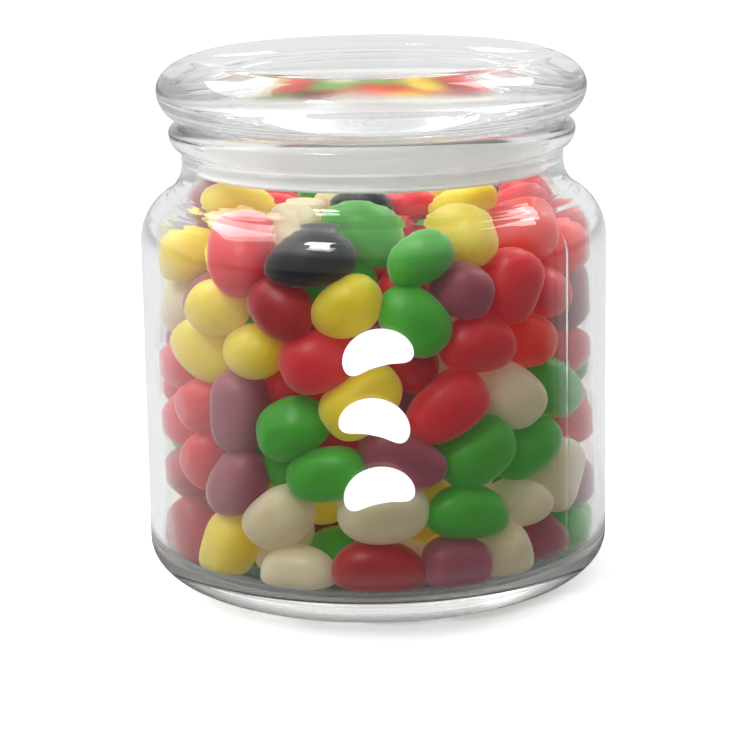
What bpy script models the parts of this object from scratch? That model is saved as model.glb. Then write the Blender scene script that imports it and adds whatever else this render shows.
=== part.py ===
"""Glass storage jar filled with jelly beans, with its pressed glass lid and soft plastic seal.

Metres, +Z up. The origin is on the jar's axis, at the level that the foot stands on.
Each separate piece of the real thing is one object: jar, lid, seal and the heap of beans.
"""

import math
import random

import bpy
import numpy as np

MM = 0.001

# Driving dimensions
BODY_RADIUS = 60 * MM
BODY_TOP = 89.8 * MM  # where the straight wall ends and the shoulder begins
NECK_RADIUS = 49 * MM
WALL = 3.8 * MM
FLOOR_TOP = 8 * MM  # the heavy base is twice as thick as the wall
JAR_HEIGHT = 120 * MM
LID_RADIUS = 55 * MM
LID_THICKNESS = 16 * MM
PLUG_DEPTH = 11.6 * MM  # how far the lid's plug reaches into the neck
CLEARANCE = 0.3 * MM  # between pieces that touch on the real jar

# Jar
HEEL_WIDTH = 16.6 * MM  # the heel's curve is wider than it is high
HEEL_HEIGHT = 11.1 * MM
FOOT_WIDTH = 4.5 * MM
PUSH_UP_HEIGHT = 2 * MM  # the underside is hollowed, so that only a ring stands
PUSH_UP_SLOPE = 5 * MM
SHOULDER_RADIUS = 14 * MM
NECK_FILLET = 9 * MM
INNER_HEEL_RADIUS = 5.5 * MM
FLOOR_RISE = 1.2 * MM
BEAD_OUTER_RADIUS = 52.15 * MM  # the rolled ring below the mouth
BEAD_WIDTH = 3.85 * MM
BEAD_MIDDLE = 117.5 * MM
BEAD_FOOT = 112.9 * MM
LIP_EDGE = 1.2 * MM

# Lid
RIM_WIDTH = 12 * MM  # the half-width of the rim's rounded section
SEAT_RADIUS = 47 * MM  # the flat of the underside that sits on the lip
DISH_RADIUS = 34 * MM
DISH_DEPTH = 2.4 * MM
PLUG_RADIUS = 41 * MM
PLUG_WALL = 5 * MM  # the plug is a ring, and the lid is hollow inside it
DISC_THICKNESS = 6.9 * MM  # the glass between the dish and the hollow
HOLLOW_FILLET = 2.5 * MM

# Seal
SLEEVE_THICKNESS = 1.6 * MM
FIN_HEIGHT = 1.2 * MM
FIN_PITCH = 4.6 * MM
FIN_COUNT = 3
SEAL_TOP = 118.6 * MM
SEAL_BOTTOM = 107.8 * MM  # a little below the plug, which it wraps

# Heap of beans
BEAN_LENGTH = 18.5 * MM
BEAN_WIDTH = 13 * MM
BEAN_SHIFT = 0.15  # how far a bean strays from its row, as a share of its size
HEAP_TOP = 107.5 * MM
HEAP_EDGE_TOP = 104 * MM
DENT_DEPTH = 5 * MM  # how deep the gaps between the outer beans reach

TURN_STEPS = 36
HEAP_STEPS = 72
MERGE_DISTANCE = 0.01 * MM


def clear_scene():
    for obj in list(bpy.data.objects):
        bpy.data.objects.remove(obj)


def collection_named(name):
    collection = bpy.data.collections.new(name)
    bpy.context.scene.collection.children.link(collection)
    return collection


def material_named(name, colour, roughness, transmission=0.0):
    material = bpy.data.materials.new(name)
    material.use_nodes = True
    shader = material.node_tree.nodes["Principled BSDF"]
    shader.inputs["Base Color"].default_value = (*colour, 1.0)
    shader.inputs["Roughness"].default_value = roughness
    shader.inputs["Metallic"].default_value = 0.0
    shader.inputs["Transmission Weight"].default_value = transmission
    return material


def arc(centre, radii, start, end, steps):
    """Points (radius, height) along an elliptical arc, from the start angle to the end angle in degrees."""
    points = []
    for i in range(steps + 1):
        angle = math.radians(start + (end - start) * i / steps)
        x = centre[0] + radii[0] * math.cos(angle)
        z = centre[1] + radii[1] * math.sin(angle)
        points.append((x, z))
    return points


def turned(name, profile, steps, material, collection, closed=False):
    """A solid of revolution: the profile's points (radius, height), turned round Z by a Screw modifier."""
    mesh = bpy.data.meshes.new(name)
    edges = [(i, i + 1) for i in range(len(profile) - 1)]
    if closed:
        edges.append((len(profile) - 1, 0))
    mesh.from_pydata([(x, 0.0, z) for x, z in profile], edges, [])
    obj = bpy.data.objects.new(name, mesh)
    collection.objects.link(obj)
    obj.data.materials.append(material)
    screw = obj.modifiers.new("Turn", "SCREW")
    screw.axis = "Z"
    screw.angle = math.tau
    screw.steps = steps
    screw.render_steps = steps
    screw.use_merge_vertices = True
    screw.merge_threshold = MERGE_DISTANCE
    screw.use_smooth_shade = True
    return obj


def neck_fillet_height():
    """Height of the neck fillet's centre, where its arc runs tangent into the shoulder's arc."""
    across = NECK_RADIUS + NECK_FILLET - (BODY_RADIUS - SHOULDER_RADIUS)
    between = SHOULDER_RADIUS + NECK_FILLET
    return BODY_TOP + math.sqrt(between**2 - across**2)


def shoulder(inset):
    """The shoulder from neck to body, moved into the glass by inset: a hollow arc, then a round one."""
    fillet_centre = (NECK_RADIUS + NECK_FILLET, neck_fillet_height())
    round_centre = (BODY_RADIUS - SHOULDER_RADIUS, BODY_TOP)
    rise = fillet_centre[1] - round_centre[1]
    run = fillet_centre[0] - round_centre[0]
    meeting = math.degrees(math.atan2(rise, run))
    hollow_radius = NECK_FILLET + inset
    round_radius = SHOULDER_RADIUS - inset
    hollow = arc(fillet_centre, (hollow_radius, hollow_radius), 180, 180 + meeting, 3)
    rounded = arc(round_centre, (round_radius, round_radius), meeting, 0, 4)
    return hollow + rounded[1:]


def build_jar(material, collection):
    inner_neck = NECK_RADIUS - WALL
    inner_body = BODY_RADIUS - WALL
    inside_floor = [(0.0, FLOOR_TOP + FLOOR_RISE)]
    heel_centre = (inner_body - INNER_HEEL_RADIUS, FLOOR_TOP + INNER_HEEL_RADIUS)
    inside_heel = arc(heel_centre, (INNER_HEEL_RADIUS, INNER_HEEL_RADIUS), -90, 0, 3)
    inside_shoulder = list(reversed(shoulder(WALL)))
    lip_centre = (inner_neck + LIP_EDGE, JAR_HEIGHT - LIP_EDGE)
    inside_lip = arc(lip_centre, (LIP_EDGE, LIP_EDGE), 180, 90, 2)
    bead_centre = (BEAD_OUTER_RADIUS - BEAD_WIDTH, BEAD_MIDDLE)
    bead = arc(bead_centre, (BEAD_WIDTH, JAR_HEIGHT - BEAD_MIDDLE), 90, 0, 3)
    # The bead's lower curve ends where it reaches the neck's radius.
    bead_end = math.degrees(math.acos((NECK_RADIUS - bead_centre[0]) / BEAD_WIDTH))
    bead += arc(bead_centre, (BEAD_WIDTH, BEAD_MIDDLE - BEAD_FOOT), 0, -bead_end, 3)[1:]
    outside_shoulder = shoulder(0.0)
    foot_outer = BODY_RADIUS - HEEL_WIDTH
    heel = arc((foot_outer, HEEL_HEIGHT), (HEEL_WIDTH, HEEL_HEIGHT), 0, -90, 5)
    foot_inner = foot_outer - FOOT_WIDTH
    underside = [
        (foot_inner, 0.0),
        (foot_inner - PUSH_UP_SLOPE, PUSH_UP_HEIGHT),
        (0.0, PUSH_UP_HEIGHT),
    ]
    profile = inside_floor + inside_heel + inside_shoulder + inside_lip
    profile += bead + outside_shoulder + heel + underside
    return turned("jar", profile, TURN_STEPS, material, collection)


def build_lid(material, collection):
    seat = JAR_HEIGHT + CLEARANCE
    top = seat + LID_THICKNESS
    middle = (seat + top) / 2
    half_height = LID_THICKNESS / 2
    crest = LID_RADIUS - RIM_WIDTH
    dish = [(0.0, top - DISH_DEPTH), (DISH_RADIUS, top - DISH_DEPTH)]
    dish.append(((DISH_RADIUS + crest) / 2, top - DISH_DEPTH / 3))
    upper_rim = arc((crest, middle), (RIM_WIDTH, half_height), 90, 0, 5)
    lower_width = LID_RADIUS - SEAT_RADIUS
    lower_rim = arc((SEAT_RADIUS, middle), (lower_width, half_height), 0, -90, 4)
    # The plug's foot is half a circle across its wall.
    foot_radius = PLUG_WALL / 2
    foot_centre = (PLUG_RADIUS - foot_radius, seat - PLUG_DEPTH + foot_radius)
    plug_foot = arc(foot_centre, (foot_radius, foot_radius), 0, -180, 4)
    ceiling = top - DISH_DEPTH - DISC_THICKNESS
    fillet_centre = (PLUG_RADIUS - PLUG_WALL - HOLLOW_FILLET, ceiling - HOLLOW_FILLET)
    hollow = arc(fillet_centre, (HOLLOW_FILLET, HOLLOW_FILLET), 0, 90, 2)
    profile = dish + upper_rim + lower_rim[1:] + [(PLUG_RADIUS, seat)]
    profile += plug_foot + hollow + [(0.0, ceiling)]
    return turned("lid", profile, TURN_STEPS, material, collection)


def build_seal(material, collection):
    """A sleeve round the plug, with fins that press against the inside of the neck."""
    inner = PLUG_RADIUS + CLEARANCE
    sleeve = inner + SLEEVE_THICKNESS
    fin_tip = NECK_RADIUS - WALL - CLEARANCE
    profile = [(inner, SEAL_TOP), (sleeve, SEAL_TOP)]
    for fin in reversed(range(FIN_COUNT)):
        foot = SEAL_BOTTOM + fin * FIN_PITCH
        profile.append((sleeve, foot + FIN_HEIGHT))
        profile.append((fin_tip, foot + FIN_HEIGHT / 2))
        if fin:
            profile.append((sleeve, foot))
    profile.append((sleeve, SEAL_BOTTOM))
    profile.append((inner, SEAL_BOTTOM))
    return turned("seal", profile, TURN_STEPS, material, collection, closed=True)


def heap_outline():
    """The heap's outline without its dents: the inside of the jar, up to a low mound under the lid."""
    reach = BODY_RADIUS - WALL - CLEARANCE
    heel = INNER_HEEL_RADIUS - CLEARANCE
    floor = FLOOR_TOP + FLOOR_RISE + CLEARANCE
    row_height = BEAN_WIDTH / 2.8
    top_radius = NECK_RADIUS - WALL - CLEARANCE
    outline = []
    top_rows = 7
    for i in range(top_rows + 1):
        share = i / top_rows
        height = HEAP_TOP + (HEAP_EDGE_TOP - HEAP_TOP) * share**2
        outline.append((top_radius * share, height))
    slope = shoulder(WALL + CLEARANCE)
    outline += [point for point in slope if point[1] < HEAP_EDGE_TOP - row_height / 3]
    wall_height = BODY_TOP - floor - heel
    wall_rows = round(wall_height / row_height)
    for i in range(1, wall_rows):
        outline.append((reach, BODY_TOP - wall_height * i / wall_rows))
    outline += arc((reach - heel, floor + heel), (heel, heel), 0, -90, 2)
    floor_rows = 3
    for i in range(1, floor_rows + 1):
        outline.append(((reach - heel) * (1 - i / floor_rows), floor))
    return outline


def outer_beans(outline):
    """The middle of each bean that touches the outline: rings of beans, one bean's width apart."""
    chance = random.Random(4)
    path = np.array(outline)
    lengths = np.hypot(*np.diff(path, axis=0).T)
    along = np.concatenate([[0.0], np.cumsum(lengths)])
    rings = round(along[-1] / BEAN_WIDTH)
    middles = []
    for ring in range(rings + 1):
        place = along[-1] * ring / rings
        radius = np.interp(place, along, path[:, 0])
        height = np.interp(place, along, path[:, 1])
        count = max(1, round(math.tau * radius / BEAN_LENGTH))
        for i in range(count):
            angle = math.tau * (i + ring / 2 + chance.uniform(-BEAN_SHIFT, BEAN_SHIFT)) / count
            lift = chance.uniform(-BEAN_SHIFT, BEAN_SHIFT) * BEAN_WIDTH
            middles.append((radius * math.cos(angle), radius * math.sin(angle), height + lift))
    return np.array(middles)


def build_heap(material, collection):
    """One closed solid out to the beans' uneven outline, dented between the outer beans."""
    outline = heap_outline()
    smooth = turned("smooth_heap", outline, HEAP_STEPS, material, collection)
    graph = bpy.context.evaluated_depsgraph_get()
    mesh = bpy.data.meshes.new_from_object(smooth.evaluated_get(graph))
    bpy.data.objects.remove(smooth)
    heap = bpy.data.objects.new("jelly_beans", mesh)
    collection.objects.link(heap)
    middles = outer_beans(outline)
    half = (BEAN_LENGTH + BEAN_WIDTH) / 4
    normals = [vertex.normal.copy() for vertex in mesh.vertices]
    for vertex, normal in zip(mesh.vertices, normals):
        gap = np.linalg.norm(middles - np.array(vertex.co), axis=1).min()
        vertex.co -= normal * DENT_DEPTH * min(1.0, gap / half) ** 2
    mesh.update()
    return heap


def main():
    clear_scene()
    parts = collection_named("jar_of_jelly_beans")
    glass = material_named("clear_glass", (0.95, 0.97, 0.97), 0.02, transmission=1.0)
    plastic = material_named("soft_clear_plastic", (0.86, 0.85, 0.84), 0.35, transmission=0.4)
    sugar = material_named("sugar_shell", (0.75, 0.25, 0.12), 0.25)
    build_jar(glass, parts)
    build_lid(glass, parts)
    build_seal(plastic, parts)
    build_heap(sugar, parts)


main()
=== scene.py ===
# %% [markdown]
# # A glass jar of jelly beans
#
# The real object is four things made in four ways: a jar and a lid of soda-lime glass,
# a soft plastic seal moulded to fit between them, a white print fired onto the front, and some
# three hundred panned sweets that were poured in. The frame loaded here is the fixed model that
# the physics uses. It already has the sizes and places right, so this script only gives it looks.

# %% Load the frame
import math
import random

import bmesh
import bpy
import numpy as np
from mathutils import Matrix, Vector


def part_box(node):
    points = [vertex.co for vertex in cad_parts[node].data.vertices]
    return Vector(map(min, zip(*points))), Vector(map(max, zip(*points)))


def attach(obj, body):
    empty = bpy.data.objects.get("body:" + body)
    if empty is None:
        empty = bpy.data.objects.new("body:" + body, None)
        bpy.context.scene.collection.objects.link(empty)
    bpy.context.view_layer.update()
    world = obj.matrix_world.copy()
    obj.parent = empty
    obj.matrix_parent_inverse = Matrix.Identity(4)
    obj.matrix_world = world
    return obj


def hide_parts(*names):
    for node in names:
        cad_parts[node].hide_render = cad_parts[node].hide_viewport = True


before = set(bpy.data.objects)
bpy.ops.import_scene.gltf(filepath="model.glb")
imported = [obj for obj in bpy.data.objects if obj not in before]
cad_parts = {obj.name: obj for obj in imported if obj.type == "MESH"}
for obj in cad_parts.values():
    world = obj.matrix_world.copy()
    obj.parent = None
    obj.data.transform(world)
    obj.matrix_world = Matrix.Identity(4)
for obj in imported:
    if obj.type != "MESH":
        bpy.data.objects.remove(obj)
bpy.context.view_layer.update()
scene = bpy.context.scene
print("CAD nodes:", sorted(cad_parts))

# %% [markdown]
# ## Sizes
#
# The outer sizes are measured from the frame's own boxes: the jar's box gives its radius and
# height, the lid's its radius, top and foot, and the seal's its radius and ends. The rest are
# estimates in millimetres. Blender works in metres here, so each is multiplied by MM.

# %% Driving sizes
MM = 0.001
jar_low, jar_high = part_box("jar")
lid_low, lid_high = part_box("lid")
seal_low, seal_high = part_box("seal")

BODY_RADIUS = jar_high.x
JAR_HEIGHT = jar_high.z
LID_RADIUS = lid_high.x
LID_TOP = lid_high.z
PLUG_FOOT = lid_low.z
SEAL_RADIUS = seal_high.x
SEAL_TOP = seal_high.z
SEAL_BOTTOM = seal_low.z

BODY_TOP = 89.8 * MM  # where the straight wall ends and the shoulder begins
NECK_RADIUS = 49 * MM
WALL = 3.8 * MM
FLOOR_TOP = 8 * MM
SEAT = JAR_HEIGHT + 0.3 * MM
BEAN_SIZE = (18.8 * MM, 13.5 * MM, 12.8 * MM)  # length, width and thickness
print(f"jar {2000 * BODY_RADIUS:.0f} mm wide, {1000 * JAR_HEIGHT:.0f} mm high")

# %% [markdown]
# ## Camera
#
# A long lens from well back keeps the jar's sides nearly upright, as product photographers like.
# It stands a little above the lid and looks down about thirteen degrees, so that the lid's top
# shows as a thin ellipse. The picture is turned by just under a degree, which makes the jar lean
# slightly to the left. Turning the camera about its own axis keeps the jar itself upright.

# %% Camera
CAMERA_DISTANCE = 698 * MM
CAMERA_HEIGHT = 217 * MM
CAMERA_PITCH = 13.28
CAMERA_ROLL = -0.9
CAMERA_LENS = 131.5  # millimetres, on a sensor 36 wide
CAMERA_SHIFT = -0.001


def make_camera():
    data = bpy.data.cameras.new("camera")
    data.lens = CAMERA_LENS
    data.sensor_width = 36
    data.shift_x = CAMERA_SHIFT
    camera = bpy.data.objects.new("camera", data)
    scene.collection.objects.link(camera)
    camera.location = (0, -CAMERA_DISTANCE, CAMERA_HEIGHT)
    look_down = Matrix.Rotation(math.radians(90 - CAMERA_PITCH), 3, "X")
    roll = Matrix.Rotation(math.radians(CAMERA_ROLL), 3, "Z")
    camera.rotation_euler = (look_down @ roll).to_euler()
    return camera


scene.camera = make_camera()
print("camera at", tuple(round(v, 3) for v in scene.camera.location))

# %% [markdown]
# ## Colours and nodes
#
# A colour picker gives sRGB values, but a shader calculates with linear light, so one function
# turns a hex colour into the linear one. Another adds a node: its settings are keyword arguments,
# and its inputs are given as plain values or as another node's output to link. Nothing real is
# one even colour, so each material but the glass drifts between two near ones.


# %% Helpers for materials
def linear(hex_colour):
    """An sRGB hex colour as the linear RGBA that the shaders use."""
    channels = [int(hex_colour[i : i + 2], 16) / 255 for i in (1, 3, 5)]
    light = [c / 12.92 if c <= 0.04045 else ((c + 0.055) / 1.055) ** 2.4 for c in channels]
    return (*light, 1)


def add_node(tree, kind, inputs=None, **settings):
    """One new node: settings are its properties, inputs its sockets by name or number."""
    node = tree.nodes.new("ShaderNode" + kind)
    for name, value in settings.items():
        setattr(node, name, value)
    for name, value in (inputs or {}).items():
        if isinstance(value, bpy.types.NodeSocket):
            tree.links.new(value, node.inputs[name])
        else:
            node.inputs[name].default_value = value
    return node


def new_tree(name):
    """An empty material and its node tree."""
    material = bpy.data.materials.new(name)
    material.use_nodes = True
    material.node_tree.nodes.clear()
    return material, material.node_tree


def per_mm(size):
    """The scale that makes a texture repeat about once in this many millimetres."""
    return 1 / (size * MM)


def limits(edge, low, high):
    """Map Range inputs that take a value from low to high as it crosses the edge, two numbers."""
    return {"From Min": edge[0], "From Max": edge[1], "To Min": low, "To Max": high}


print("white in linear light:", linear("#FFFFFF"))

# %% [markdown]
# ## Studio
#
# Clear glass has no colour of its own: what the eye reads as glass is the room, bent and
# mirrored. This studio is a guess that suits the glass. The room is white behind the jar and
# at its sides, and dark on the camera's side, as with a black cloth hung and laid in front of
# the table. The front wall then mirrors
# darkness and lets the sweets' colours through, while the sides mirror white and turn milky.
# The floor takes part in this, since a wall seen from above mirrors the floor: it is white
# card close round the jar and black cloth further forward, and right under the jar it is
# darkened to a small grey patch, a painted shadow that stands for the jar's own shade, which
# is what its thick base shows. The eye itself sees the card white all over. Two
# lamps behind the jar show as white patches in the lid, and a third lights the sweets.


# %% Light and dark sides of the room
DARK_SIDE = (0.267, -0.964, 0)  # the middle of the dark part, seen from the jar
DARK_EDGE = (0.12, 0.36)  # cosines of the angle from it, from where white ends to where dark begins
SKY_WHITE = 0.85
SKY_DARK = 0.3
DOME_WHITE = 0.75  # overhead it is white on every side
DOME_EDGE = (0.37, 0.67)  # where the dome begins, as sines of the angle above the horizon
CARD_SIZE = 16  # metres, so that the eye sees no edge
CARD_GREY = 0.66
CARD_GLOW = 0.4  # what the eye sees of the card is lifted to white
CLOTH_GREY = 0.12
CLOTH_START = (75 * MM, 130 * MM)  # how far from the jar's axis the cloth begins
# painted shadow under the jar: the distances over which it fades out to the card
PAINTED_SHADOW_EDGE = (66 * MM, 90 * MM)
PAINTED_SHADOW_SHARE = 0.3  # painted shadow: how much of the card's light the floor right under the jar gives back
LAMPS = {  # degrees to the right of the camera's side, height, distance, size and power
    "left_lamp": (-118, 0.78, 0.55, (0.7, 0.35), 3.0),
    "right_lamp": (132, 0.78, 0.55, (0.3, 0.35), 1.6),
    "key_lamp": (-35, 0.85, 0.6, (0.18, 0.14), 1.7),
}


def room_brightness(tree, way, dark, white):
    """A value that goes from dark on the camera's side to white elsewhere, by compass direction."""
    flat = add_node(tree, "VectorMath", {0: way, 1: (1, 1, 0)}, operation="MULTIPLY")
    compass = add_node(tree, "VectorMath", {0: flat.outputs[0]}, operation="NORMALIZE")
    both = {0: compass.outputs[0], 1: DARK_SIDE}
    facing = add_node(tree, "VectorMath", both, operation="DOT_PRODUCT")
    turn = {"Value": facing.outputs["Value"], **limits(DARK_EDGE, white, dark)}
    return add_node(tree, "MapRange", turn, interpolation_type="SMOOTHSTEP").outputs[0]


def make_floor():
    """A white card to the eye, but a card, a cloth and a painted shadow under the jar to what the
    glass mirrors.
    """
    bpy.ops.mesh.primitive_plane_add(size=CARD_SIZE)
    floor = bpy.context.active_object
    floor.name = "floor"
    material, tree = new_tree("white_card")
    place = add_node(tree, "TexCoord")
    fibres = {"Vector": place.outputs["Object"], "Scale": per_mm(3), "Detail": 2}
    grain = add_node(tree, "TexNoise", fibres)
    shades = {"Factor": grain.outputs[0], "A": linear("#F7F7F7"), "B": linear("#FAFAFA")}
    tint = add_node(tree, "Mix", shades, data_type="RGBA").outputs["Result"]
    card = add_node(tree, "BsdfPrincipled", {"Base Color": tint, "Roughness": 0.6})
    glow = add_node(tree, "Emission", {"Color": tint, "Strength": CARD_GLOW})
    lit = add_node(tree, "AddShader", {0: card.outputs[0], 1: glow.outputs[0]})
    around = room_brightness(tree, place.outputs["Object"], CLOTH_GREY, CARD_GREY)
    away = add_node(tree, "VectorMath", {0: place.outputs["Object"]}, operation="LENGTH")
    close = {"Value": away.outputs["Value"], **limits(CLOTH_START, CARD_GREY, 0)}
    near = add_node(tree, "MapRange", close, interpolation_type="SMOOTHSTEP")
    # painted shadow: the floor right under the jar is darkened, standing for the jar's own shade
    painted_shadow_reach = {"Value": away.outputs["Value"], **limits(PAINTED_SHADOW_EDGE, PAINTED_SHADOW_SHARE, 1)}
    painted_shadow = add_node(tree, "MapRange", painted_shadow_reach, interpolation_type="SMOOTHSTEP")
    shade = add_node(tree, "Math", {0: around, 1: near.outputs[0]}, operation="MAXIMUM")
    shade = add_node(tree, "Math", {0: shade.outputs[0], 1: painted_shadow.outputs[0]}, operation="MULTIPLY")
    cloth = add_node(tree, "BsdfDiffuse", {"Color": shade.outputs[0]})
    path = add_node(tree, "LightPath")
    ends = {0: path.outputs["Is Camera Ray"], 1: cloth.outputs[0], 2: lit.outputs[0]}
    both = add_node(tree, "MixShader", ends)
    add_node(tree, "OutputMaterial", {"Surface": both.outputs[0]})
    floor.data.materials.append(material)


def make_sky():
    """The room's walls and the dome above them."""
    world = bpy.data.worlds.new("studio")
    scene.world = world
    world.use_nodes = True
    tree = world.node_tree
    tree.nodes.clear()
    way = add_node(tree, "TexCoord")
    around = room_brightness(tree, way.outputs["Generated"], SKY_DARK, SKY_WHITE)
    height = add_node(tree, "SeparateXYZ", {0: way.outputs["Generated"]})
    overhead = {"Value": height.outputs["Z"], **limits(DOME_EDGE, 0, DOME_WHITE)}
    dome = add_node(tree, "MapRange", overhead, interpolation_type="SMOOTHSTEP")
    bright = add_node(tree, "Math", {0: around, 1: dome.outputs[0]}, operation="MAXIMUM")
    room = {"Color": linear("#FCFDFF"), "Strength": bright.outputs[0]}
    light = add_node(tree, "Background", room)
    add_node(tree, "OutputWorld", {"Surface": light.outputs[0]})


def soft_lamp(name, compass, height, distance, size, power):
    """A large lamp that faces the middle of the jar's height, with measures in metres."""
    data = bpy.data.lights.new(name, "AREA")
    data.shape = "RECTANGLE"
    data.size, data.size_y = size
    data.energy = power
    lamp = bpy.data.objects.new(name, data)
    scene.collection.objects.link(lamp)
    angle = math.radians(compass)
    lamp.location = (distance * math.sin(angle), -distance * math.cos(angle), height)
    towards = lamp.location.copy()
    towards.z -= JAR_HEIGHT / 2
    lamp.rotation_euler = towards.to_track_quat("Z", "Y").to_euler()


make_floor()
make_sky()
for name, settings in LAMPS.items():
    soft_lamp(name, *settings)
scene.view_settings.view_transform = "Standard"
# Light runs round inside the lid's rim many times, and through many beans, before it comes out.
scene.cycles.max_bounces = 40
scene.cycles.glossy_bounces = 32
scene.cycles.transmission_bounces = 32
scene.cycles.diffuse_bounces = 12
print("studio ready with", len(LAMPS), "lamps")

# %% [markdown]
# ## Soda-lime glass
#
# Jar and lid are soda-lime glass, gathered hot and formed in iron moulds: the lid is pressed,
# and the jar, which is wider than its neck, is blown out. A flame then melts the mould's skin
# away and leaves the glass brilliant. Its index is 1.52. The
# lid's skin is a little more rippled than the jar's. Two parts are made rough for their effect,
# and are guesses about the real glass: a satin skin in the inner corner of the lid's hollow
# blurs the sweets seen through it, and a stippled underside turns the light in the base to an
# even grey. Lamps can't shine straight through a bending surface in a path tracer, so for
# shadow rays alone the glass counts as a clear tinted film. That lights the beans without noise.


# %% Glass material
GLASS_INDEX = 1.52
STIPPLE_EDGE = (1.5 * MM, 4 * MM)  # the underside is stippled up to this height
STIPPLE_ROUGHNESS = 0.35


def pressed_glass(use, ripple_size, ripple_strength, roughness=0.0):
    """Clear glass with a rippled skin; the size of the ripple is in millimetres."""
    material, tree = new_tree("pressed_soda_lime_glass_" + use)
    place = add_node(tree, "TexCoord")
    height = add_node(tree, "SeparateXYZ", {0: place.outputs["Object"]})
    rough_below = limits(STIPPLE_EDGE, STIPPLE_ROUGHNESS, roughness)
    foot = {"Value": height.outputs["Z"], **rough_below}
    stipple = add_node(tree, "MapRange", foot, interpolation_type="SMOOTHSTEP")
    skin = {"Vector": place.outputs["Object"], "Scale": per_mm(ripple_size), "Detail": 1}
    ripple = add_node(tree, "TexNoise", skin)
    relief = {"Strength": ripple_strength, "Distance": 0.1 * MM, "Height": ripple.outputs[0]}
    bump = add_node(tree, "Bump", relief)
    glass = add_node(
        tree,
        "BsdfPrincipled",
        {
            "Base Color": linear("#FDFEFD"),
            "Roughness": stipple.outputs[0],
            "IOR": GLASS_INDEX,
            "Transmission Weight": 1.0,
            "Normal": bump.outputs[0],
        },
    )
    film = add_node(tree, "BsdfTransparent", {"Color": linear("#FBFCFB")})
    path = add_node(tree, "LightPath")
    ends = {0: path.outputs["Is Shadow Ray"], 1: glass.outputs[0], 2: film.outputs[0]}
    both = add_node(tree, "MixShader", ends)
    add_node(tree, "OutputMaterial", {"Surface": both.outputs[0]})
    return material


JAR_GLASS = pressed_glass("jar", ripple_size=3, ripple_strength=0.01)
LID_GLASS = pressed_glass("lid", ripple_size=1.2, ripple_strength=0.04)
SATIN_GLASS = pressed_glass("satin", ripple_size=1.2, ripple_strength=0.14, roughness=0.3)
print("made", JAR_GLASS.name, "and", LID_GLASS.name, "and", SATIN_GLASS.name)

# %% [markdown]
# ## Turning a profile
#
# Jar, lid and seal are round, so each is an outline in one half plane that a Screw modifier
# turns about the vertical axis. The outline runs down the outer side, from top to bottom, so
# that the faces point outwards. An outline of the inside comes before it and runs up. Curves
# are arcs of circles or ellipses, given by their centre, radii and end angles. Glass shows
# every facet, so the arcs and turns are fine.

# %% Turning
TURNS = 200


def arc(centre, radii, start, end, steps=10):
    """Points (radius, height) on an ellipse's arc, from one angle to another in degrees."""
    points = []
    for angle in np.radians(np.linspace(start, end, steps + 1)):
        across, up = radii[0] * math.cos(angle), radii[1] * math.sin(angle)
        points.append((centre[0] + across, centre[1] + up))
    return points


def rounded(before, corner, after, radius, steps=6):
    """The corner between two straight runs, replaced by an arc of about this radius."""
    before, corner, after = (np.array(p, float) for p in (before, corner, after))
    start = corner + (before - corner) / np.linalg.norm(before - corner) * radius
    end = corner + (after - corner) / np.linalg.norm(after - corner) * radius
    shares = np.linspace(0, 1, steps + 1)[:, None]
    curve = (1 - shares) ** 2 * start + 2 * shares * (1 - shares) * corner + shares**2 * end
    return [tuple(p) for p in curve]


def turned(name, profile, closed=False):
    """A mesh object made by turning the profile about Z."""
    mesh = bpy.data.meshes.new(name)
    edges = [(i, i + 1) for i in range(len(profile) - 1)]
    if closed:
        edges.append((len(profile) - 1, 0))
    mesh.from_pydata([(r, 0, z) for r, z in profile], edges, [])
    outline = bpy.data.objects.new(name + "_outline", mesh)
    scene.collection.objects.link(outline)
    screw = outline.modifiers.new("turn", "SCREW")
    screw.steps = TURNS
    screw.render_steps = TURNS
    screw.use_merge_vertices = True
    screw.merge_threshold = 0.01 * MM
    screw.use_smooth_shade = True
    graph = bpy.context.evaluated_depsgraph_get()
    solid = bpy.data.meshes.new_from_object(outline.evaluated_get(graph))
    bpy.data.objects.remove(outline)
    piece = bpy.data.objects.new(name, solid)
    scene.collection.objects.link(piece)
    return piece


print("one turn has", TURNS, "steps")

# %% [markdown]
# ## The jar
#
# From the mouth down: a rolled bead that the lid sits on, a short neck, a shoulder made of
# a hollow arc that runs into a round one, a straight body, a heel that is wider than it is
# high, and a ring to stand on. The inside follows the outside at the wall's thickness, but the
# base is twice as thick. The shoulder is given very shallow rings, as if from the turning of
# the mould, which draw a lamp's reflection out into streaks.

# %% Jar outline
HEEL = (16.6 * MM, 11.1 * MM)  # how wide and how high the curve at the foot of the body is
SHOULDER = 14 * MM
NECK_FILLET = 9 * MM
INNER_HEEL = 5.5 * MM
FLOOR_RISES = [(0.0, 1.2 * MM), (15 * MM, 1.05 * MM), (30 * MM, 0.5 * MM)]  # at these radii
WALL_ROWS = 26
LIP = 1.2 * MM
RING_HEIGHT = 0.008 * MM
BEAD = (3.85 * MM, 4.6 * MM)
BEAD_MIDDLE = (48.3 * MM, 117.5 * MM)
FOOT_WIDTH = 4.5 * MM  # of the flat part between the heel and the step inwards
PUSH_UP = 2 * MM  # how far the underside stands above the table


def shoulder(inset, steps=10):
    """The shoulder from neck to body, moved into the glass by inset."""
    across = NECK_RADIUS + NECK_FILLET - (BODY_RADIUS - SHOULDER)
    rise = math.sqrt((SHOULDER + NECK_FILLET) ** 2 - across**2)
    meeting = math.degrees(math.atan2(rise, across))
    hollow = (NECK_RADIUS + NECK_FILLET, BODY_TOP + rise)
    crown = (BODY_RADIUS - SHOULDER, BODY_TOP)
    points = arc(hollow, (NECK_FILLET + inset,) * 2, 180, 180 + meeting, steps)
    return points + arc(crown, (SHOULDER - inset,) * 2, meeting, 0, steps)[1:]


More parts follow.
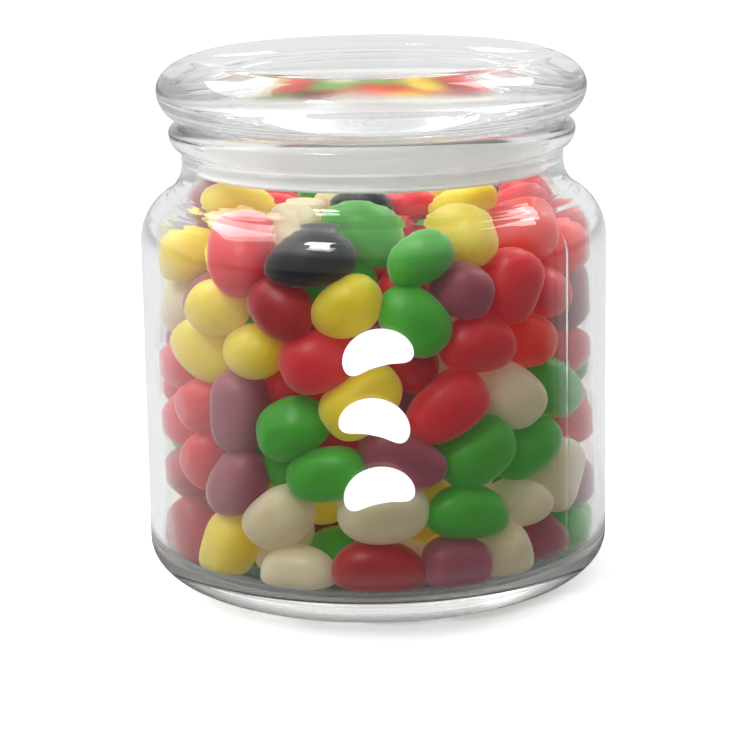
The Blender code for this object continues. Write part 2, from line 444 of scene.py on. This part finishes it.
def jar_inside():
    """The inside outline, from the middle of the floor up to the lip."""
    radius = BODY_RADIUS - WALL
    points = [(r, FLOOR_TOP + rise) for r, rise in FLOOR_RISES]
    points += arc((radius - INNER_HEEL, FLOOR_TOP + INNER_HEEL), (INNER_HEEL,) * 2, -88, 0)
    wall = np.linspace(FLOOR_TOP + INNER_HEEL, BODY_TOP, WALL_ROWS)[1:-1]
    points += [(radius, height) for height in wall]
    points += shoulder(WALL)[::-1]
    return points + arc((NECK_RADIUS - WALL + LIP, JAR_HEIGHT - LIP), (LIP, LIP), 180, 90)


def ringed(points):
    """The points moved out and in a little, in shallow rings that fade at both ends."""
    moved = []
    for i, (r, z) in enumerate(points):
        ripple = RING_HEIGHT * (math.sin(1.05 * i) + math.sin(0.62 * i))
        ring = ripple * math.sin(math.pi * i / len(points))
        moved.append((r + ring, z + ring))
    return moved


def jar_outside():
    """The outside outline, from the lip down to the middle of the underside."""
    lip_height = JAR_HEIGHT - BEAD_MIDDLE[1]
    end = -math.degrees(math.acos((NECK_RADIUS - BEAD_MIDDLE[0]) / BEAD[0]))
    points = arc(BEAD_MIDDLE, (BEAD[0], lip_height), 88, 0)
    points += arc(BEAD_MIDDLE, BEAD, 0, end)[1:]
    points += ringed(shoulder(0, 40))
    points += arc((BODY_RADIUS - HEEL[0], HEEL[1]), HEEL, 0, -90, 16)
    foot = BODY_RADIUS - HEEL[0] - FOOT_WIDTH
    step = (foot - 5 * MM, PUSH_UP)
    points += rounded((foot + 2 * MM, 0), (foot, 0), step, 1.2 * MM)
    points += rounded((foot, 0), step, (0, PUSH_UP), 2 * MM)
    return points + [(0.0, PUSH_UP)]


jar_glass = turned("jar_glass", jar_inside() + jar_outside())
print("jar glass:", len(jar_glass.data.vertices), "points")

# %% [markdown]
# A turned shape is too perfect. Where the two halves of the mould met, a ridge a fifth of
# a millimetre high runs up the body on each side, and the inside, which no mould touched, is
# slightly wavy. Both are moved into the mesh itself, and the mesh's columns are drawn together
# at the ridges so that they stay sharp.

# %% Mould seams and waves
SEAM_ANGLE = math.radians(-37.5)  # to the right of the front; the other seam is opposite
SEAM_HEIGHT = 0.2 * MM
SEAM_WIDTH = 0.45 * MM
SEAM_CROWDING = 0.88  # how strongly the mesh's columns are drawn together at the seams
SEAM_TOP = BODY_TOP + 8 * MM
SEAM_FADE = 6 * MM
WAVE_HEIGHT = 0.18 * MM
WAVE_FADE = 16 * MM


def wear_in(piece):
    """Moves the points of the jar for the seams outside and the waves inside."""
    mesh = piece.data
    places = np.empty(len(mesh.vertices) * 3)
    mesh.vertices.foreach_get("co", places)
    places = places.reshape(-1, 3)
    radius = np.hypot(places[:, 0], places[:, 1])
    angle = np.arctan2(places[:, 1], places[:, 0])
    angle -= SEAM_CROWDING * np.sin(2 * (angle - SEAM_ANGLE)) / 2
    height = places[:, 2].copy()
    outer = radius > BODY_RADIUS - 1.2 * MM
    inner = np.isclose(radius, BODY_RADIUS - WALL, atol=0.02 * MM)
    in_seam = np.minimum(height - HEEL[1], SEAM_TOP - height)
    rise = SEAM_HEIGHT * np.clip(in_seam / SEAM_FADE, 0, 1)
    off_seam = np.abs(np.sin(angle - SEAM_ANGLE)) * radius
    radius += np.where(outer, rise * np.exp(-((off_seam / SEAM_WIDTH) ** 2)), 0)
    waves = np.sin(3 * angle + 0.8) + 0.6 * np.sin(5 * angle + height / (14 * MM))
    in_wall = np.minimum(height - FLOOR_TOP - INNER_HEEL, BODY_TOP - height)
    waves *= np.sin(np.clip(in_wall / WAVE_FADE, 0, 1) * math.pi / 2) ** 2
    radius += np.where(inner, WAVE_HEIGHT * waves, 0)
    places[:, 0] = radius * np.cos(angle)
    places[:, 1] = radius * np.sin(angle)
    mesh.vertices.foreach_set("co", places.ravel())
    mesh.update()


wear_in(jar_glass)
jar_glass.data.materials.append(JAR_GLASS)
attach(jar_glass, "root")
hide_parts("jar")
print("jar glass worn in")

# %% [markdown]
# ## The lid
#
# A thick pressed disc with a fat round rim, a shallow dish in its top and a hollow ring of
# a plug below that reaches into the neck. The rim is solid glass, which is why it shows the
# dark and light bands of a lens. The rounded corner of the hollow shows a strip of the sweets
# below, and its satin skin blurs them.

# %% Lid
CREST_RADIUS = LID_RADIUS - 12 * MM  # where the lid is highest
DISH_FLOOR = LID_TOP - 2.4 * MM
SEAT_RADIUS = 47 * MM
PLUG_RADIUS = 41 * MM
PLUG_ROUND = 2.5 * MM  # the radius of the plug's foot and of the hollow's corner
HOLLOW_RADIUS = 36 * MM
LID_CEILING = LID_TOP - 9.3 * MM
SATIN_BAND = (LID_CEILING - 2.6 * MM, LID_CEILING - 0.8 * MM)  # the rounded corner of the hollow


def lid_outline():
    """From the middle of the dish, over the rim and the plug, to the middle of the hollow."""
    middle = (SEAT + LID_TOP) / 2
    half = LID_TOP - middle
    slope = [(34 * MM, DISH_FLOOR), (CREST_RADIUS, LID_TOP)]
    points = [(0.0, DISH_FLOOR), (16 * MM, DISH_FLOOR)]
    points += rounded((0, DISH_FLOOR), slope[0], slope[1], 5 * MM)
    points += rounded(slope[0], slope[1], (CREST_RADIUS + 4 * MM, LID_TOP), 3 * MM)
    points += arc((CREST_RADIUS, middle), (LID_RADIUS - CREST_RADIUS, half), 72, 0, 14)
    points += arc((SEAT_RADIUS, middle), (LID_RADIUS - SEAT_RADIUS, half), 0, -90, 14)[1:]
    seat_corner = (PLUG_RADIUS, SEAT)
    points += rounded((SEAT_RADIUS, SEAT), seat_corner, (PLUG_RADIUS, PLUG_FOOT), 0.6 * MM)
    foot_middle = (PLUG_RADIUS - PLUG_ROUND, PLUG_FOOT + PLUG_ROUND)
    points += arc(foot_middle, (PLUG_ROUND,) * 2, 0, -180, 14)
    corner = (HOLLOW_RADIUS, LID_CEILING)
    points += rounded((HOLLOW_RADIUS, PLUG_FOOT), corner, (0, LID_CEILING), PLUG_ROUND)
    return points + [(0.0, LID_CEILING)]


lid_glass = turned("lid_glass", lid_outline())
lid_glass.data.materials.append(LID_GLASS)
lid_glass.data.materials.append(SATIN_GLASS)
for face in lid_glass.data.polygons:
    across, along, up = face.center
    if math.hypot(across, along) < HOLLOW_RADIUS and SATIN_BAND[0] < up < SATIN_BAND[1]:
        face.material_index = 1
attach(lid_glass, "root")
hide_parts("lid")
print("lid glass:", len(lid_glass.data.vertices), "points")

# %% [markdown]
# ## The seal
#
# A sleeve of soft low-density polyethylene, injection moulded, with three fins that grip the
# inside of the neck. They are drawn straight here, and stop a third of a millimetre short of
# it. Thin polyethylene is cloudy, because its crystals scatter
# light: the seal looks whitish and hides the plug behind it. A faint painted glow of its own
# stands for the light scattered deep in the neck.

# %% Seal
SEAL_INNER = 41.3 * MM
SLEEVE_RADIUS = SEAL_INNER + 1.6 * MM
FIN_HEIGHT = 1.2 * MM
FIN_PITCH = 4.6 * MM


def cloudy_polyethylene():
    """Milky plastic; a faint glow of its own stands for the light scattered deep in the neck."""
    material, tree = new_tree("moulded_cloudy_polyethylene")
    flow = add_node(tree, "TexNoise", {"Scale": per_mm(9), "Detail": 2})
    shades = {"Factor": flow.outputs[0], "A": linear("#F9F4F3"), "B": linear("#FDF9F8")}
    tint = add_node(tree, "Mix", shades, data_type="RGBA").outputs["Result"]
    plastic = add_node(
        tree,
        "BsdfPrincipled",
        {
            "Base Color": tint,
            "Roughness": 0.4,
            "IOR": 1.51,
            "Subsurface Weight": 1.0,
            "Subsurface Radius": (1, 0.95, 0.93),
            "Subsurface Scale": 3 * MM,
            # painted glow: a faint emission that stands for light scattered deep in the neck
            "Emission Color": tint,
            "Emission Strength": 0.08,
        },
    )
    add_node(tree, "OutputMaterial", {"Surface": plastic.outputs[0]})
    return material


def seal_outline():
    """A sleeve with three fins, drawn from the top one down."""
    fin_round = FIN_HEIGHT / 2
    points = [(SEAL_INNER, SEAL_TOP), (SLEEVE_RADIUS, SEAL_TOP)]
    for fin in (2, 1, 0):
        foot = SEAL_BOTTOM + fin * FIN_PITCH
        points += [(SLEEVE_RADIUS, foot + FIN_HEIGHT)]
        tip = (SEAL_RADIUS - fin_round, foot + fin_round)
        points += arc(tip, (fin_round,) * 2, 80, -80, 5)
        points += [(SLEEVE_RADIUS, foot)]
    return points + [(SEAL_INNER, SEAL_BOTTOM)]


seal_ring = turned("seal_ring", seal_outline(), closed=True)
seal_ring.data.materials.append(cloudy_polyethylene())
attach(seal_ring, "root")
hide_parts("seal")
print("seal:", len(seal_ring.data.vertices), "points")

# %% [markdown]
# ## The shape of one bean
#
# A jelly bean starts as a starch-moulded centre and is tumbled in a pan while sugar syrup dries
# on it, coat after coat. That makes a smooth ovoid, bent a little like a kidney, and no two are
# the same: some are stubby and nearly square, some long, some taper to one end. Each bean here
# draws its own traits, and one function turns them and the points of a unit ball into its
# surface. A coarse ball gives the shape for the pour, a fine one the shape that is seen.

# %% Bean shape
LUMP_HEIGHT = 0.012  # as a share of the bean's size
chance = random.Random(11)


def unit_ball(subdivisions):
    """Points and faces of a ball of radius 1 made of even triangles."""
    ball = bmesh.new()
    bmesh.ops.create_icosphere(ball, subdivisions=subdivisions, radius=1)
    points = np.array([v.co for v in ball.verts])
    faces = np.array([[v.index for v in face.verts] for face in ball.faces])
    ball.free()
    return points, faces


def draw_traits():
    """What makes one bean differ from the next."""
    size = chance.gauss(1, 0.05)
    stretch = [chance.uniform(0.9, 1.1), chance.uniform(0.94, 1.06), chance.uniform(0.94, 1.06)]
    return {
        "half": np.array(BEAN_SIZE) / 2 * size * np.array(stretch),
        "squareness": chance.uniform(2.0, 2.7),
        "taper": chance.uniform(-0.12, 0.12),
        "bend": chance.uniform(0.2, 1.6) * MM,
        "lumps": np.array([[chance.uniform(-2.6, 2.6) for _ in range(4)] for _ in range(4)]),
    }


def bean_surface(ball, traits):
    """The unit ball's points moved onto this bean."""
    power = traits["squareness"]
    squared = ball / ((np.abs(ball) ** power).sum(1) ** (1 / power))[:, None]
    waves = np.sin(squared @ traits["lumps"][:, :3].T + traits["lumps"][:, 3])
    squared *= (1 + LUMP_HEIGHT * waves.sum(1))[:, None]
    points = squared * traits["half"]
    points[:, 1:] *= (1 + traits["taper"] * squared[:, 0])[:, None]
    points[:, 2] -= traits["bend"] * (squared[:, 0] ** 2 - 0.3)
    return points


coarse_ball, coarse_faces = unit_ball(2)
fine_ball, fine_faces = unit_ball(4)
print("a bean has", len(fine_faces), "triangles")

# %% [markdown]
# ## Pouring the beans
#
# A heap is hard to place by hand and easy to pour. Blender's rigid bodies drop the beans through
# the neck into a shell of the jar's inside and let them settle, so that they lean on the glass
# and on each other. They leave the shoulder's corners empty, as poured sweets do. Collisions
# work best on things a metre or so in size, so the pour happens at a hundred times the size.

# %% The pour
BEANS = 318
POUR_SCALE = 100
POUR_FRAMES = 150
POUR_MARGIN = 0.01
FILL_LINE = SEAL_BOTTOM + 0.5 * MM


def pour_shell():
    """The inside of the jar with its neck drawn up into a tall chute, at the pour's scale."""
    inside = [(r, z) for r, z in jar_inside() if z < JAR_HEIGHT - 5 * MM]
    inside.append((NECK_RADIUS - WALL, JAR_HEIGHT * 6))
    snug = [(max(r - 0.2 * MM, 0), z) for r, z in inside]
    shell = turned("pour_shell", snug)
    shell.data.transform(Matrix.Scale(POUR_SCALE, 4))
    return shell


def loose_layers():
    """Places for all the beans at the start, far enough apart not to touch."""
    pitch, rise = 20 * MM, 17 * MM
    places, level = [], 0
    while len(places) < BEANS:
        height = FLOOR_TOP + 18 * MM + rise * level
        outer = BODY_RADIUS if height < BODY_TOP - 6 * MM else NECK_RADIUS
        inner = outer - WALL - BEAN_SIZE[0] * 0.55
        steps = range(-4, 5)
        shift = 0.5 * (level % 2)
        grid = [((i + shift) * pitch, (j + shift) * pitch, height) for i in steps for j in steps]
        places += [p for p in grid if math.hypot(p[0], p[1]) < inner]
        level += 1
    return places[:BEANS]


def pour(all_traits):
    """Drops the beans into the jar and returns where each comes to rest, as 4 by 4 matrices."""
    bpy.ops.rigidbody.world_add()
    world = scene.rigidbody_world
    world.substeps_per_frame = 8
    world.solver_iterations = 12
    world.point_cache.frame_end = POUR_FRAMES
    bpy.ops.object.select_all(action="DESELECT")
    shell = pour_shell()
    bpy.context.view_layer.objects.active = shell
    bpy.ops.rigidbody.object_add(type="PASSIVE")
    shell.rigid_body.collision_shape = "MESH"
    shell.rigid_body.friction = 0.3
    shell.rigid_body.use_margin = True
    shell.rigid_body.collision_margin = POUR_MARGIN
    bodies = []
    for traits, place in zip(all_traits, loose_layers()):
        mesh = bpy.data.meshes.new("poured")
        points = bean_surface(coarse_ball, traits) * POUR_SCALE
        mesh.from_pydata(points.tolist(), [], coarse_faces.tolist())
        body = bpy.data.objects.new("poured", mesh)
        scene.collection.objects.link(body)
        body.location = [c * POUR_SCALE for c in place]
        body.rotation_euler = [chance.uniform(-math.pi, math.pi) for _ in range(3)]
        body.select_set(True)
        bodies.append(body)
    bpy.context.view_layer.objects.active = bodies[0]
    bpy.ops.rigidbody.objects_add(type="ACTIVE")
    for body in bodies:
        body.rigid_body.collision_shape = "CONVEX_HULL"
        body.rigid_body.friction = 0.25
        body.rigid_body.restitution = 0.05
        body.rigid_body.linear_damping = 0.1
        body.rigid_body.angular_damping = 0.2
        body.rigid_body.use_margin = True
        body.rigid_body.collision_margin = POUR_MARGIN
    for moment in range(1, POUR_FRAMES + 1):
        scene.frame_set(moment)
    graph = bpy.context.evaluated_depsgraph_get()
    rests = np.array([np.array(body.evaluated_get(graph).matrix_world) for body in bodies])
    rests[:, :3, 3] /= POUR_SCALE
    bpy.ops.rigidbody.world_remove()
    for body in [*bodies, shell]:
        bpy.data.objects.remove(body)
    scene.frame_set(1)
    return rests


all_traits = [draw_traits() for _ in range(BEANS)]
rests = pour(all_traits)
print("poured", len(rests), "beans; the highest is at", round(rests[:, 2, 3].max() / MM), "mm")

# %% [markdown]
# ## Colours
#
# The mix is not even: these are the eight colours, with about how many in a hundred beans have
# each. A colour is drawn for every bean, but the beans at the front of the glass are what the eye
# compares, so those are then sorted. Each place there says how far across and how high
# up the front a bean of that colour shows, and the nearest bean takes it. The places were
# adjusted to this one pour, and fit no other as well. A bean round the side
# stands further back, and so shows higher than it is, because the eye looks down. The shells
# are thin and the centres are jelly, so light goes deep into a bean and comes out again
# coloured. A faint glow of its own stands for the light that has been through many beans.
#
# The beans are drawn a little larger than they were poured, so that the heap looks closely
# packed. They overlap their neighbours by about a millimetre, and are pressed flat where they
# would pass the jar's wall or floor. Those that come to rest too high are left out. That test
# is on a bean's middle, so one that stands upright still reaches a millimetre into the lid.

# %% Bean colours
COLOURS = {
    "yellow": ("#E6CC2A", 20),
    "pink_red": ("#D6242F", 17),
    "dark_red": ("#A80C14", 8),
    "orange_red": ("#EE300C", 7),
    "green": ("#45A628", 19),
    "purple": ("#9A4A5A", 12),
    "cream": ("#DACBA8", 12),
    "black": ("#0E0E14", 3),
}
FRONT_PLACES = {  # millimetres to the right of the middle, and up from the table
    "yellow": [(-32, 110), (19, 106), (-38, 97), (-46, 97), (-42, 81), (20, 100), (-6, 83),
               (-43, 71), (-30, 71), (-4, 59), (-7, 47), (24, 53), (-36, 23), (38, 105)],
    "green": [(-4, 103), (11, 95), (9, 79), (-20, 52), (24, 46), (38, 47), (-13, 41), (-46, 43),
              (22, 31), (43, 25), (49, 58), (-50, 50), (50, 76), (43, 63)],
    "black": [(0, 108), (-16, 95)],
    "pink_red": [(-24, 103), (-11, 108), (9, 108), (-32, 95), (34, 88), (-15, 70), (24, 74),
                 (-48, 74), (-39, 56), (17, 58), (-8, 26), (43, 87), (48, 46), (44, 108),
                 (-50, 62), (44, 68)],
    "orange_red": [(36, 101), (38, 76), (36, 92)],
    "purple": [(-38, 89), (21, 87), (27, 105), (-47, 60), (-34, 57), (-34, 39), (19, 19), (49, 36)],
    "dark_red": [(-46, 26), (0, 17), (42, 45), (-23, 85), (9, 66)],
    "cream": [(33, 62), (-23, 31), (2, 30), (35, 33), (-20, 17), (32, 22), (14, 100)],
}
FURTHEST_MATCH = 11 * MM
FRONT_DEPTH = 25 * MM  # beans further back than this past the axis don't count as the front
AT_GLASS = 39 * MM  # a bean this far from the axis lies at the glass
AT_TOP = 92 * MM  # and one this high shows over the others
SWELLING = 1.035
PRESSED_GAP = 0.35 * MM
HALF_BEAN = 6.5 * MM  # a bean whose middle is nearer to the fill line than this is left out


def draw_colours(kept):
    """A colour for each bean: drawn from the mix, then sorted at the front of the glass."""
    names = list(COLOURS)
    weights = [COLOURS[name][1] for name in names]
    colours = {i: chance.choices(names, weights)[0] for i in kept}
    tilt = math.tan(math.radians(CAMERA_PITCH))
    front = []
    for i in kept:
        x, y, z = rests[i, :3, 3]
        if y < FRONT_DEPTH and (math.hypot(x, y) > AT_GLASS or z > AT_TOP):
            front.append((i, x, z + (y + BODY_RADIUS - WALL) * tilt))
    pairs = []
    for name, places in FRONT_PLACES.items():
        for order, (across, up) in enumerate(places):
            for i, x, seen in front:
                gap = math.hypot(x - across * MM, seen - up * MM)
                if gap < FURTHEST_MATCH:
                    pairs.append((gap, name, order, i))
    sorted_beans, filled = set(), set()
    for gap, name, order, i in sorted(pairs):
        if i not in sorted_beans and (name, order) not in filled:
            colours[i] = name
            sorted_beans.add(i)
            filled.add((name, order))
    print(len(sorted_beans), "of", len(front), "beans at the front sorted by hand")
    return colours


def sugar_shell(name, hex_colour):
    """A satin sugar shell with fine pits, over jelly that lets light through, and a faint painted
    glow.
    """
    material, tree = new_tree("panned_sugar_shell_" + name)
    colour = linear(hex_colour)
    deeper = tuple(c * 0.8 for c in colour[:3]) + (1,)
    glow = [0.25 + 0.75 * c for c in colour[:3]]
    tone = add_node(tree, "TexNoise", {"Scale": per_mm(19), "Detail": 1})
    mottle = add_node(tree, "TexNoise", {"Scale": per_mm(2.2), "Detail": 3})
    both = {0: tone.outputs[0], 1: mottle.outputs[0]}
    share = add_node(tree, "Math", both, operation="MULTIPLY")
    ends = {"Factor": share.outputs[0], "A": colour, "B": deeper}
    shade = add_node(tree, "Mix", ends, data_type="RGBA")
    pits = add_node(tree, "TexNoise", {"Scale": per_mm(0.9), "Detail": 3, "Roughness": 0.6})
    relief = {"Strength": 0.06, "Distance": 0.25 * MM, "Height": pits.outputs[0]}
    bump = add_node(tree, "Bump", relief)
    gloss = {"Value": mottle.outputs[0], "To Min": 0.28, "To Max": 0.42}
    polish = add_node(tree, "MapRange", gloss)
    shell = add_node(
        tree,
        "BsdfPrincipled",
        {
            "Base Color": shade.outputs["Result"],
            "Roughness": polish.outputs[0],
            "IOR": 1.5,
            "Specular IOR Level": 0.35,
            "Sheen Weight": 0.4,
            "Sheen Roughness": 0.4,
            "Subsurface Weight": 1.0,
            "Subsurface Radius": glow,
            "Subsurface Scale": 18 * MM,
            # painted glow: a faint emission that stands for light that has been through many beans
            "Emission Color": shade.outputs["Result"],
            "Emission Strength": 0.13,
            "Normal": bump.outputs[0],
        },
    )
    add_node(tree, "OutputMaterial", {"Surface": shell.outputs[0]})
    return material


def pressed_in(points):
    """A bean's points, pressed flat where they would pass the glass of the wall or floor."""
    radius = np.hypot(points[:, 0], points[:, 1])
    limit = np.interp(points[:, 2], WALL_HEIGHTS, WALL_RADII) - PRESSED_GAP
    points[:, :2] *= np.minimum(1, limit / np.maximum(radius, 1 * MM))[:, None]
    floor = np.interp(radius, FLOOR_RADII, FLOOR_HEIGHTS) + PRESSED_GAP / 2
    points[:, 2] = np.maximum(points[:, 2], floor)
    return points


def joined_beans(name, hex_colour, chosen):
    """Shows all the beans of a colour, each at its rest, as one mesh."""
    size = len(fine_ball)
    points, faces = [], []
    for order, index in enumerate(chosen):
        local = bean_surface(fine_ball, all_traits[index]) * SWELLING
        turn, place = rests[index][:3, :3], rests[index][:3, 3]
        points.append(pressed_in(local @ turn.T + place))
        faces.append(fine_faces + order * size)
    mesh = bpy.data.meshes.new("beans_" + name)
    mesh.from_pydata(np.concatenate(points).tolist(), [], np.concatenate(faces).tolist())
    mesh.shade_smooth()
    mesh.materials.append(sugar_shell(name, hex_colour))
    piece = bpy.data.objects.new("beans_" + name, mesh)
    scene.collection.objects.link(piece)
    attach(piece, "root")
    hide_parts("jelly_beans")


inside = jar_inside()
corner = max(range(len(inside)), key=lambda i: inside[i][0] - inside[i][1])
FLOOR_RADII, FLOOR_HEIGHTS = zip(*inside[: corner + 1])
WALL_RADII, WALL_HEIGHTS = zip(*inside[corner:])
kept = [i for i in range(BEANS) if rests[i, 2, 3] + HALF_BEAN < FILL_LINE]
colour_of = draw_colours(kept)
for name in COLOURS:
    chosen = [i for i in kept if colour_of[i] == name]
    joined_beans(name, COLOURS[name][0], chosen)
    print(name, len(chosen))

# %% [markdown]
# ## The print
#
# The front carries a small white print: ceramic enamel pressed through a screen and fired onto
# the glass, so it is a thin hard film with a slight sheen. The motif is plain, a column of three
# bean shapes. Each is drawn flat, as a bent oval, and then wrapped round the jar. In front of
# the dark side of the room it would look grey, so the enamel is given a painted glow that lifts it
# to white.

# %% Print
PRINT_SIZE = (19 * MM, 9.2 * MM)  # the length of the bent middle line, and the width
PRINT_BEND = 7.5 * MM
PRINT_PLACES = [(73 * MM, 14), (56 * MM, -12), (39 * MM, 10)]  # height, and lean in degrees
PRINT_FILM = (0.02 * MM, 0.08 * MM)  # how far its back and its face stand off the glass
PRINT_RINGS = 8
PRINT_SPOKES = 72


def fired_white_enamel():
    """A hard white film, very slightly speckled, with a painted glow."""
    material, tree = new_tree("fired_white_enamel")
    specks = add_node(tree, "TexNoise", {"Scale": per_mm(0.8), "Detail": 3})
    shades = {"Factor": specks.outputs[0], "A": linear("#F8F8F6"), "B": linear("#FFFFFF")}
    tint = add_node(tree, "Mix", shades, data_type="RGBA").outputs["Result"]
    relief = {"Strength": 0.1, "Distance": 0.05 * MM, "Height": specks.outputs[0]}
    bump = add_node(tree, "Bump", relief)
    enamel = add_node(
        tree,
        "BsdfPrincipled",
        {
            "Base Color": tint,
            "Roughness": 0.38,
            # painted glow: emission that keeps the print white in front of the dark side of the
            # room
            "Emission Color": linear("#FFFFFF"),
            "Emission Strength": 0.8,
            "Normal": bump.outputs[0],
        },
    )
    add_node(tree, "OutputMaterial", {"Surface": enamel.outputs[0]})
    return material


def bean_point(angle, share):
    """A point of the flat bean shape, a share of the way from its middle to its edge."""
    bend = share * PRINT_SIZE[0] / 2 * math.cos(angle) / PRINT_BEND
    out = PRINT_BEND + share * PRINT_SIZE[1] / 2 * math.sin(angle)
    return out * math.sin(bend), out * math.cos(bend) - PRINT_BEND


def shape_points(height, degrees):
    """One bean shape wrapped round the jar: the points of its back, then those of its face."""
    lean = math.radians(degrees)
    points = []
    for film in PRINT_FILM:
        radius = BODY_RADIUS + film
        for ring in range(PRINT_RINGS + 1):
            for spoke in range(PRINT_SPOKES if ring else 1):
                angle = math.tau * spoke / PRINT_SPOKES
                across, up = bean_point(angle, ring / PRINT_RINGS)
                u = across * math.cos(lean) - up * math.sin(lean)
                v = across * math.sin(lean) + up * math.cos(lean)
                x, y = radius * math.sin(u / radius), -radius * math.cos(u / radius)
                points.append((x, y, height + v))
    return points


def shape_faces(base):
    """The faces of one bean shape whose points start at base: back, face and edge."""
    faces = []
    layer = 1 + PRINT_RINGS * PRINT_SPOKES
    rim = base + layer - PRINT_SPOKES
    for spoke in range(PRINT_SPOKES):
        after = (spoke + 1) % PRINT_SPOKES
        for middle, turn in ((base, -1), (base + layer, 1)):
            faces.append([middle, middle + 1 + spoke, middle + 1 + after][::turn])
            for ring in range(PRINT_RINGS - 1):
                near = middle + 1 + ring * PRINT_SPOKES
                far = near + PRINT_SPOKES
                faces.append([near + spoke, far + spoke, far + after, near + after][::turn])
        faces.append([rim + spoke, rim + after, rim + layer + after, rim + layer + spoke])
    return faces


print_points, print_faces = [], []
for height, degrees in PRINT_PLACES:
    print_faces += shape_faces(len(print_points))
    print_points += shape_points(height, degrees)
mesh = bpy.data.meshes.new("white_print")
mesh.from_pydata(print_points, [], print_faces)
mesh.materials.append(fired_white_enamel())
white_print = bpy.data.objects.new("white_print", mesh)
scene.collection.objects.link(white_print)
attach(white_print, "root")
print("print:", len(mesh.polygons), "faces")
